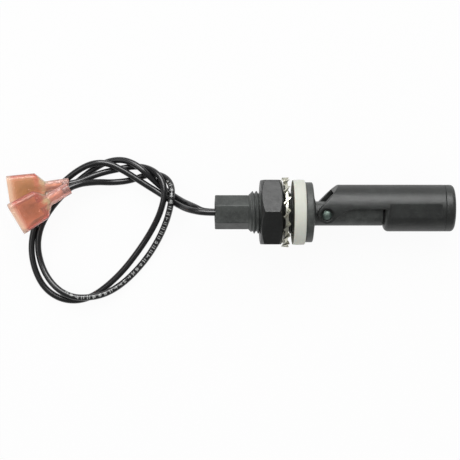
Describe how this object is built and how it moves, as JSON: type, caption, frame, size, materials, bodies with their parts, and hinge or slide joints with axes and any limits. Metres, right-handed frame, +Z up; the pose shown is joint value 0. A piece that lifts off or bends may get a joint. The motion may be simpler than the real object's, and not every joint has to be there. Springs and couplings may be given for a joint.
{
  "type": "side-mounted float probe",
  "caption": "Horizontal hinged float probe: threaded plastic body with nut, toothed washer and gasket, a swinging float with a magnet, and two leads with push-on terminals.",
  "frame": {"origin": "the middle of the probe's own box, leads and terminals left out, on the table that it lies on", "axes": "+X along the probe towards the float's end, +Z up from the table; the probe rests on one corner of its nut and on the float's rim, so its axis drops 4.7 degrees towards the float, and its body is rolled 8.5 degrees about that axis"},
  "size_m": [0.1698, 0.0561, 0.0281],
  "materials": {
    "body_plastic": "moulded",
    "float_plastic": "moulded",
    "nut_plastic": "moulded",
    "potting_resin": "cast",
    "gasket_rubber": "matte",
    "washer_steel": "bright",
    "pin_steel": "turned",
    "reed_glass": "clear",
    "reed_metal": "drawn",
    "tinned_metal": "tinned",
    "magnet": "ground",
    "lead_insulation": "satin",
    "cover_front": "translucent",
    "cover_rear": "translucent",
    "contact_brass": "stamped",
    "copper": "drawn"
  },
  "bodies": {
    "probe": {"probe_body": "body_plastic", "potting": "potting_resin", "reed_glass": "reed_glass", "reed_lead_rear": "reed_metal", "reed_lead_front": "reed_metal", "lead_core_a": "copper", "lead_core_b": "copper", "splice_a": "tinned_metal", "splice_b": "tinned_metal", "pivot_pin": "pin_steel", "hex_nut": "nut_plastic", "lock_washer": "washer_steel", "gasket": "gasket_rubber", "terminal_cover_a": "cover_rear", "terminal_contact_a": "contact_brass", "terminal_core_a": "copper", "lead_wire_a": "lead_insulation", "terminal_cover_b": "cover_front", "terminal_contact_b": "contact_brass", "terminal_core_b": "copper", "lead_wire_b": "lead_insulation"},
    "float": {"float_body": "float_plastic", "float_cap": "float_plastic", "float_magnet": "magnet", "magnet_plug": "float_plastic"}
  },
  "joints": [
    {"name": "float_pivot", "type": "hinge", "parent": "probe", "child": "float", "pos_m": [-0.00341, 0, 0.01234], "axis": [0.0818, -0.1478, 0.9856], "range_deg": [0, 45]}
  ]
}
